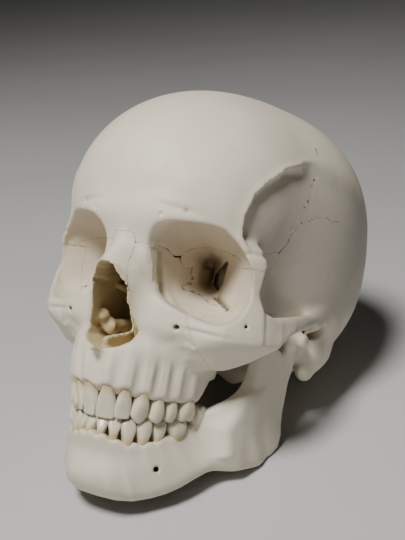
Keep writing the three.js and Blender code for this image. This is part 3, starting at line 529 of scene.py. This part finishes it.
REGIONS = [
    ("zygomatic_left", lambda x, y, z: np.maximum(cheek_region(np.abs(x), y, z), -x)),
    ("zygomatic_right", lambda x, y, z: np.maximum(cheek_region(np.abs(x), y, z), x)),
    ("temporal_left", lambda x, y, z: np.maximum(outline(y, z, TEMPORAL_SIDE), 34 - x)),
    ("temporal_right", lambda x, y, z: np.maximum(outline(y, z, TEMPORAL_SIDE), 34 + x)),
    ("nasal_bones", lambda x, y, z: np.maximum(outline(x, z, NASAL_FRONT), y + 82)),
    ("maxilla", lambda x, y, z: face_region(np.abs(x), y, z)),
    ("sphenoid", lambda x, y, z: outline(y, z, SPHENOID_SIDE)),
    ("frontal", lambda x, y, z: outline(y, z, FRONTAL_SIDE)),
    ("occipital", lambda x, y, z: outline(y, z, OCCIPITAL_SIDE)),
    ("parietal_right", lambda x, y, z: x),
    ("parietal_left", lambda x, y, z: -x),
]


def seam_waves(x, y, z):
    """Moves a point a little, so that straight outlines give wandering seams."""
    big = 0.3 + 0.9 * step(22, 50, z)
    far = 1.4 * step(30, 60, y)
    return (x + (big + far) * 0.8 * ripple(y * 0.9, 0.4) * step(30, 60, z),
            y + big * ripple(x * 0.55 + z * 0.5, 1.1),
            z + (big + far) * ripple(x * 0.7 + y * 0.6, 2.2))


# Meshing
def blocks_near(field, low, high, size):
    """Blocks of the grid that the surface may pass through."""
    low = np.asarray(low, float)
    count = np.ceil((np.asarray(high, float) - low) / (size * BLOCK)).astype(int)
    grid = np.meshgrid(*[np.arange(n) for n in count], indexing="ij")
    b = np.stack([g.ravel() for g in grid], 1)
    middle = low + (b + 0.5) * BLOCK * size
    near = np.abs(field(middle[:, 0], middle[:, 1], middle[:, 2])) < BLOCK * size * BLOCK_REACH + size
    return b[near]


def samples(blocks, low, size):
    off = np.arange(BLOCK + 1)
    o = [g.ravel() for g in np.meshgrid(off, off, off, indexing="ij")]
    cell = [blocks[:, i:i + 1] * BLOCK + o[i] for i in range(3)]
    return [low[i] + c * size for i, c in enumerate(cell)]


def in_parts(field, x, y, z, count):
    """A field worked out a few rows at a time, on all cores."""
    spans = [slice(i, i + count) for i in range(0, len(x), count)]
    with ThreadPoolExecutor() as pool:
        return np.concatenate(list(pool.map(lambda s: field(x[s], y[s], z[s]), spans)))


def surface(blocks, values, low, size):
    """Closed surface of values sampled on blocks: points and four-sided faces."""
    first = blocks.min(0) - 1
    near = blocks - first
    count = (near.max(0) + 2) * BLOCK
    grid = np.full(count + 1, 1.0, np.float32)
    live = np.zeros(count, bool)
    side = BLOCK + 1
    for (i, j, k), v in zip(near * BLOCK, values):
        grid[i:i + side, j:j + side, k:k + side] = v.reshape(side, side, side)
        live[i:i + BLOCK, j:j + BLOCK, k:k + BLOCK] = True
    start = np.asarray(low, float) + first * BLOCK * size
    return nets(grid, live, start, size)


def nets(grid, live, start, size):
    """One point in each cell that the surface crosses, joined across each crossed grid line."""
    inside = grid < 0
    corners = [(i, j, k) for i in (0, 1) for j in (0, 1) for k in (0, 1)]
    shape = [n - 1 for n in inside.shape]
    part = {c: inside[c[0]:c[0] + shape[0], c[1]:c[1] + shape[1], c[2]:c[2] + shape[2]] for c in corners}
    some = np.zeros(shape, bool)
    full = np.ones(shape, bool)
    for p in part.values():
        some |= p
        full &= p
    cells = np.stack(np.nonzero(some & ~full & live), 1)
    index = np.full(shape, -1, np.int32)
    index[tuple(cells.T)] = np.arange(len(cells))
    value = {c: grid[tuple((cells + c).T)] for c in corners}
    total = np.zeros((len(cells), 3))
    hits = np.zeros(len(cells))
    for axis in range(3):
        for c in corners:
            if c[axis]:
                continue
            end = tuple(v + (i == axis) for i, v in enumerate(c))
            a, b = value[c], value[end]
            crossed = (a < 0) != (b < 0)
            t = np.where(crossed, a / np.where(crossed, a - b, 1), 0)
            for i in range(3):
                total[:, i] += np.where(crossed, t if i == axis else c[i], 0)
            hits += crossed
    points = start + (cells + total / hits[:, None]) * size
    faces = []
    for axis, (u, w) in enumerate(((1, 2), (2, 0), (0, 1))):
        before = [slice(None)] * 3
        after = [slice(None)] * 3
        before[axis] = slice(0, -1)
        after[axis] = slice(1, None)
        g = np.stack(np.nonzero(inside[tuple(before)] != inside[tuple(after)]), 1)
        g = g[(g[:, u] > 0) & (g[:, w] > 0) & (g[:, u] < shape[u]) & (g[:, w] < shape[w])]
        ring = []
        for du, dw in ((0, 0), (1, 0), (1, 1), (0, 1)):
            at = g.copy()
            at[:, u] -= du
            at[:, w] -= dw
            ring.append(index[tuple(at.T)])
        q = np.stack(ring, 1)
        q = np.where(inside[tuple(g.T)][:, None], q, q[:, ::-1])
        faces.append(q[(q >= 0).all(1)])
    return points, np.concatenate(faces)


def largest(points, faces):
    """Keeps the largest connected surface."""
    label = np.arange(len(points))
    while True:
        new = label.copy()
        for i in range(4):
            a, b = faces[:, i], faces[:, (i + 1) % 4]
            low = np.minimum(label[a], label[b])
            np.minimum.at(new, a, low)
            np.minimum.at(new, b, low)
        new = new[new]
        if (new == label).all():
            break
        label = new
    keep = label == np.bincount(label).argmax()
    renumber = np.cumsum(keep) - 1
    return points[keep], renumber[faces[keep[faces[:, 0]]]]


def to_floor(p):
    """From the upright skull in millimetres to the resting skull in metres."""
    c, s = math.cos(REST_TILT), math.sin(REST_TILT)
    out = np.stack([p[:, 0], p[:, 1] * c + p[:, 2] * s, p[:, 2] * c - p[:, 1] * s], 1)
    return (out + REST_SHIFT) / 1000


def piece(name, points, faces, marks, material, node):
    mesh = bpy.data.meshes.new(name)
    mesh.vertices.add(len(points))
    mesh.vertices.foreach_set("co", to_floor(points).astype(np.float32).ravel())
    mesh.loops.add(faces.size)
    mesh.loops.foreach_set("vertex_index", faces.astype(np.int32).ravel())
    mesh.polygons.add(len(faces))
    mesh.polygons.foreach_set("loop_start", np.arange(0, faces.size, 4, dtype=np.int32))
    mesh.polygons.foreach_set("use_smooth", np.ones(len(faces), bool))
    mesh.update(calc_edges=True)
    mesh.set_sharp_from_angle(angle=SHARP_EDGE)
    for mark, values in marks.items():
        mesh.attributes.new(mark, "FLOAT", "POINT").data.foreach_set("value", values.astype(np.float32))
    mesh.materials.append(material)
    obj = bpy.data.objects.new(name, mesh)
    bpy.context.scene.collection.objects.link(obj)
    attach(obj, "root")
    if node == "maxilla":
        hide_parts("maxilla_left", "maxilla_right")
    elif node:
        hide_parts(node)
    return obj


def normals_of(points, faces):
    a = points[faces[:, 2]] - points[faces[:, 0]]
    b = points[faces[:, 3]] - points[faces[:, 1]]
    n = np.cross(a, b)
    total = np.zeros_like(points)
    for i in range(4):
        np.add.at(total, faces[:, i], n)
    return total / (np.linalg.norm(total, axis=1, keepdims=True) + 1e-12)


def marks_of(points, faces, field):
    """How deep each point lies among its surroundings, and which part of the skull it belongs to."""
    n = normals_of(points, faces)
    x, y, z = points.T
    ax = np.abs(x)
    far = in_parts(field, *(points + n * HOLLOW_DEPTH).T, POINT_ROWS)
    near = in_parts(field, *(points + n * DENT_DEPTH).T, POINT_ROWS)
    # hollow: where the bone colour paints shade, with some brown staining, in the deeper hollows.
    hollow = np.clip(1 - far / HOLLOW_DEPTH, 0, 1)
    # dent: where the bone colour paints shade in narrow creases and pits.
    dent = np.clip(1 - near / DENT_DEPTH, -1, 1)
    # socket: where the bone colour paints shade and warm bounced light inside the eye socket.
    socket = step(3.5, -2, orbit(ax, y, z)) * step(-90, -70, y)
    nasal = step(3, -1, nose_inside(x, y, z)) * step(20, 8, ax)
    gum = step(-26, -36, z) * step(-48, -60, y)
    # The temple mark: where the bone colour paints the temple greyer, its own tone together with painted
    # shade.
    side = step(2, -12, outline(y, z, TEMPORAL)) * step(36, 46, ax)
    return {"hollow": hollow, "dent": dent, "socket": socket, "nasal": nasal, "gum": gum, "temple": side}


# Materials
class Value:
    """A node's output that takes part in arithmetic."""

    def __init__(self, shader, socket):
        self.shader = shader
        self.socket = socket

    def __add__(self, other):
        return self.shader.node("ShaderNodeMath", {"operation": "ADD"}, {0: self, 1: other}, "Value")

    def __mul__(self, other):
        return self.shader.node("ShaderNodeMath", {"operation": "MULTIPLY"}, {0: self, 1: other}, "Value")

    __radd__ = __add__
    __rmul__ = __mul__

    def ramp(self, low, high):
        """Goes softly from 0 at the low value to 1 at the high one."""
        settings = {"interpolation_type": "SMOOTHSTEP"}
        sockets = {"Value": self, "From Min": low, "From Max": high}
        return self.shader.node("ShaderNodeMapRange", settings, sockets, "Result")


class Shader:
    """A material and the nodes that feed its surface."""

    def __init__(self, name):
        self.material = bpy.data.materials.new(name)
        self.material.use_nodes = True
        self.tree = self.material.node_tree
        self.surface = self.tree.nodes["Principled BSDF"]
        self.place = self.node("ShaderNodeTexCoord", {}, {}, "Object")

    def node(self, kind, settings, sockets, output):
        """Adds a node with its settings first and then the values or links of its sockets."""
        node = self.tree.nodes.new(kind)
        for name, setting in settings.items():
            setattr(node, name, setting)
        for name, v in sockets.items():
            self.feed(node.inputs[name], v)
        return Value(self, node.outputs[output])

    def feed(self, socket, v):
        if isinstance(v, Value):
            self.tree.links.new(v.socket, socket)
        else:
            socket.default_value = v

    def set(self, name, v):
        self.feed(self.surface.inputs[name], v)

    def noise(self, size_mm, detail, seed=0.0, rough=0.55):
        sockets = {"Vector": self.place, "W": seed, "Scale": 1000 / size_mm, "Detail": detail,
                   "Roughness": rough}
        return self.node("ShaderNodeTexNoise", {"noise_dimensions": "4D"}, sockets, "Fac")

    def mark(self, name):
        return self.node("ShaderNodeAttribute", {"attribute_name": name}, {}, "Fac")

    def mix(self, factor, a, b):
        sockets = {"Factor": factor, "A": a, "B": b}
        return self.node("ShaderNodeMix", {"data_type": "RGBA"}, sockets, "Result")

    def bump(self, height, depth_mm, strength):
        sockets = {"Strength": strength, "Distance": depth_mm / 1000, "Height": height}
        self.set("Normal", self.node("ShaderNodeBump", {}, sockets, "Normal"))


def shade(r, g, b):
    """A colour given as it looks on screen, 0 to 255, turned to linear light."""
    return tuple(((v / 255 + 0.055) / 1.055) ** 2.4 for v in (r, g, b)) + (1.0,)


def bone_material():
    m = Shader("dry_bone")
    broad = m.noise(46, 2, 0.3)
    middle = m.noise(9, 4, 1.7)
    fine = m.noise(1.6, 4, 3.1, 0.65)
    colour = m.mix(broad.ramp(0.35, 0.68), shade(228, 220, 200), shade(219, 209, 189))
    colour = m.mix(middle.ramp(0.5, 0.8) * 0.35, colour, shade(203, 190, 170))
    # Painted shade: the temples are turned greyer, their own greyer tone together with painted shade for
    # the light falling off on the sides of the head.
    colour = m.mix(m.mark("temple") * 0.75, colour, shade(176, 170, 158))
    colour = m.mix(m.mark("gum") * 0.35, colour, shade(220, 205, 190))
    # Painted shade: the deeper hollows are darkened to brown, painted shade together with some brown
    # staining.
    colour = m.mix(m.mark("hollow").ramp(0.35, 1.0) * 0.5, colour, shade(184, 165, 140))
    # Painted shade: the eye sockets are darkened to warm brown, deepest at the back, as painted shade and
    # warm bounced light.
    colour = m.mix(m.mark("socket") * 0.5, colour, shade(186, 167, 144))
    deep = m.mark("socket") * m.mark("hollow").ramp(0.05, 0.8)
    colour = m.mix(deep * 0.85, colour, shade(150, 127, 101))
    colour = m.mix(m.mark("nasal") * 0.85, colour, shade(188, 166, 112))
    # Painted shade: narrow creases and pits are darkened to dark brown.
    colour = m.mix(m.mark("dent").ramp(0.35, 0.95) * 0.5, colour, shade(138, 113, 82))
    colour = m.mix(fine.ramp(0.62, 0.78) * 0.22, colour, shade(170, 152, 126))
    m.set("Base Color", colour)
    m.set("Roughness", middle.ramp(0.2, 0.9) * 0.2 + 0.46)
    m.set("Specular IOR Level", 0.35)
    grain = m.noise(3.2, 3, 6.2, 0.6) * (m.mark("temple") * 0.7 + 0.25)
    m.bump(middle * 0.5 + fine * 0.22 + grain * 0.5, 0.5, 0.6)
    return m.material


def tooth_material():
    m = Shader("tooth_enamel")
    broad = m.noise(7, 2, 5.0)
    fine = m.noise(1.3, 3, 7.0)
    colour = m.mix(broad.ramp(0.3, 0.7), shade(222, 214, 192), shade(208, 198, 172))
    colour = m.mix(m.mark("neck") * 0.8, colour, shade(184, 160, 108))
    colour = m.mix(m.mark("edge") * 0.4, colour, shade(205, 203, 190))
    colour = m.mix(fine.ramp(0.6, 0.8) * 0.15, colour, shade(170, 150, 110))
    m.set("Base Color", colour)
    m.set("Roughness", broad.ramp(0.2, 0.9) * 0.12 + 0.24)
    m.bump(fine, 0.12, 0.4)
    return m.material


BONE = bone_material()
ENAMEL = tooth_material()


def steepest(field, p):
    """Direction in which a field grows, by small steps."""
    small = 0.15
    change = [field(*(p + d).T) - field(*(p - d).T) for d in np.eye(3) * small]
    return np.stack(change, 1) / (2 * small)


def sharpen(points, near, whole, edge):
    """Moves the points along a seam onto both the surface and the seam, so that a hairline is left."""
    chosen = near[np.abs(edge(*points[near].T)) < STEP]
    chosen = chosen[np.abs(whole(*points[chosen].T)) < STEP]
    for _ in range(3):
        p = points[chosen]
        w = whole(*p.T)
        e = edge(*p.T)
        gw = steepest(whole, p)
        ge = steepest(edge, p)
        ww = (gw * gw).sum(1) + 1e-6
        ee = (ge * ge).sum(1) + 1e-6
        we = (gw * ge).sum(1)
        det = np.maximum(ww * ee - we * we, 0.05 * ww * ee)
        a = (w * ee - e * we) / det
        b = (e * ww - w * we) / det
        move = -(gw * a[:, None] + ge * b[:, None])
        size = np.linalg.norm(move, axis=1, keepdims=True)
        points[chosen] = p + move * np.minimum(1, 0.5 * STEP / (size + 1e-9))
    return points


def build_cranium():
    low = (-76, -116, -52)
    high = (76, 94, 120)
    blocks = blocks_near(cranium, low, high, STEP)
    x, y, z = samples(blocks, low, STEP)
    whole = in_parts(cranium, x, y, z, BLOCK_ROWS)
    crossed = (whole.min(1) < 0) & (whole.max(1) > 0)
    blocks = blocks[crossed]
    whole = whole[crossed]
    x, y, z = seam_waves(x[crossed], y[crossed], z[crossed])
    taken = np.full(whole.shape, 1e3)
    for i, (name, region) in enumerate(REGIONS):
        own = in_parts(region, x, y, z, BLOCK_ROWS)
        taken_before = taken
        bone = np.maximum(np.maximum(whole, own), SEAM - taken)
        taken = np.minimum(taken, own)
        used = bone.min(1) < 0
        at_seam = used & (np.maximum(own, SEAM - taken_before).max(1) > -2 * STEP)
        points, faces = largest(*surface(blocks[used], bone[used], low, STEP))

        def edge(px, py, pz):
            at = seam_waves(px, py, pz)
            e = region(*at)
            for _, other in REGIONS[:i]:
                e = np.maximum(e, SEAM - other(*at))
            return e

        seam_blocks = set(map(tuple, blocks[at_seam].tolist()))
        homes = np.floor((points - low) / (BLOCK * STEP)).astype(int)
        near = np.nonzero([tuple(h) in seam_blocks for h in homes.tolist()])[0]
        points = sharpen(points, near, cranium, edge)
        piece(name, points, faces, marks_of(points, faces, cranium), BONE, name)


def build_jaw():
    low = (-66, -106, -98)
    high = (66, 8, 10)
    blocks = blocks_near(jaw, low, high, STEP)
    whole = in_parts(jaw, *samples(blocks, low, STEP), BLOCK_ROWS)
    points, faces = largest(*surface(blocks, whole, low, STEP))
    marks = marks_of(points, faces, jaw)
    marks["gum"] = step(-68, -60, points[:, 2]) * step(-44, -56, points[:, 1])
    for mark in ("socket", "nasal", "temple"):
        marks[mark] = marks[mark] * 0
    piece("mandible", points, faces, marks, BONE, "mandible")


def build_teeth(name, row, teeth, necks, up):
    all_points = []
    all_faces = []
    all_rises = []
    count = 0
    for (s, width, depth, height, kind), neck in zip(teeth, necks):
        cx, cy, ux, uy = place(row, s)
        for side in (1, -1):
            def field(x, y, z):
                dx = x * side - cx
                dy = y - cy
                along = dx * ux + dy * uy
                outward = dx * uy - dy * ux
                return tooth(along, outward, (z - neck) * up, width, depth, height, kind)

            reach = 0.75 * max(width, depth) + 1
            ends = sorted((neck - up * height, neck + up * (height + 1.5)))
            low = (cx * side - reach, cy - reach, ends[0])
            high = (cx * side + reach, cy + reach, ends[1])
            blocks = blocks_near(field, low, high, TOOTH_STEP)
            values = field(*samples(blocks, low, TOOTH_STEP))
            points, faces = largest(*surface(blocks, values, low, TOOTH_STEP))
            all_points.append(points)
            all_faces.append(faces + count)
            all_rises.append((points[:, 2] - neck) * up / height)
            count += len(points)
    rise = np.concatenate(all_rises)
    marks = {"neck": step(0.32, -0.02, rise), "edge": step(0.7, 1.0, rise)}
    piece(name, np.concatenate(all_points), np.concatenate(all_faces), marks, ENAMEL, None)


build_cranium()
build_jaw()
build_teeth("upper_teeth", UPPER_ROW, UPPER_TEETH, UPPER_NECKS, -1)
build_teeth("lower_teeth", LOWER_ROW, LOWER_TEETH, LOWER_NECKS, 1)


# Floor, light and camera
WARM_WHITE = (1.0, 0.98, 0.95)


def add_floor():
    size = 3.0
    corners = [(-size, -size, 0), (size, -size, 0), (size, size, 0), (-size, size, 0)]
    mesh = bpy.data.meshes.new("floor")
    mesh.from_pydata(corners, [], [(0, 1, 2, 3)])
    m = Shader("floor_paint")
    patches = m.noise(300, 2).ramp(0.3, 0.7)
    m.set("Base Color", m.mix(patches, (0.5, 0.5, 0.5, 1), (0.53, 0.53, 0.53, 1)))
    m.set("Roughness", 0.85)
    mesh.materials.append(m.material)
    floor = bpy.data.objects.new("floor", mesh)
    bpy.context.scene.collection.objects.link(floor)


def add_light(name, spot, target, size, power):
    data = bpy.data.lights.new(name, "AREA")
    data.shape = "DISK"
    data.size = size
    data.energy = power
    data.color = WARM_WHITE
    lamp = bpy.data.objects.new(name, data)
    lamp.location = spot
    lamp.rotation_euler = (Vector(target) - Vector(spot)).to_track_quat("-Z", "Y").to_euler()
    bpy.context.scene.collection.objects.link(lamp)


# The camera is set in the upright skull's space: bearing, height, roll, shift across, shift up, distance
VIEW = (27.81, -1.36, 8.82, -4.16, 20.27, 471.32)
LENS = 60.0
SENSOR = 36.0


def add_camera():
    a, e, roll = (math.radians(v) for v in VIEW[:3])
    back = np.array([math.sin(a) * math.cos(e), -math.cos(a) * math.cos(e), math.sin(e)])
    right0 = np.array([math.cos(a), math.sin(a), 0.0])
    up0 = np.cross(back, right0)
    right = math.cos(roll) * right0 + math.sin(roll) * up0
    up = -math.sin(roll) * right0 + math.cos(roll) * up0
    spot = VIEW[3] * right + VIEW[4] * up + VIEW[5] * back
    c, s = math.cos(REST_TILT), math.sin(REST_TILT)
    lean = np.array([[1, 0, 0], [0, c, s], [0, -s, c]])
    turned = Matrix(np.stack([lean @ right, lean @ up, lean @ back], 1).tolist())
    data = bpy.data.cameras.new("camera")
    data.lens = LENS
    data.sensor_width = SENSOR
    data.clip_start = 0.01
    data.clip_end = 20.0
    cam = bpy.data.objects.new("camera", data)
    place_of_lens = Vector(to_floor(spot[None])[0].tolist())
    cam.matrix_world = Matrix.Translation(place_of_lens) @ turned.to_4x4()
    bpy.context.scene.collection.objects.link(cam)
    bpy.context.scene.camera = cam


add_floor()
add_light("key", (-0.02, -0.62, 1.24), (0, 0, 0.09), 0.36, 24)
add_light("fill", (0.1, -1.3, 0.4), (0, 0, 0.08), 0.9, 1)
world = bpy.data.worlds.new("studio")
world.use_nodes = True
background = world.node_tree.nodes["Background"]
background.inputs["Color"].default_value = (0.86, 0.85, 0.83, 1)
background.inputs["Strength"].default_value = 0.03
bpy.context.scene.world = world
add_camera()
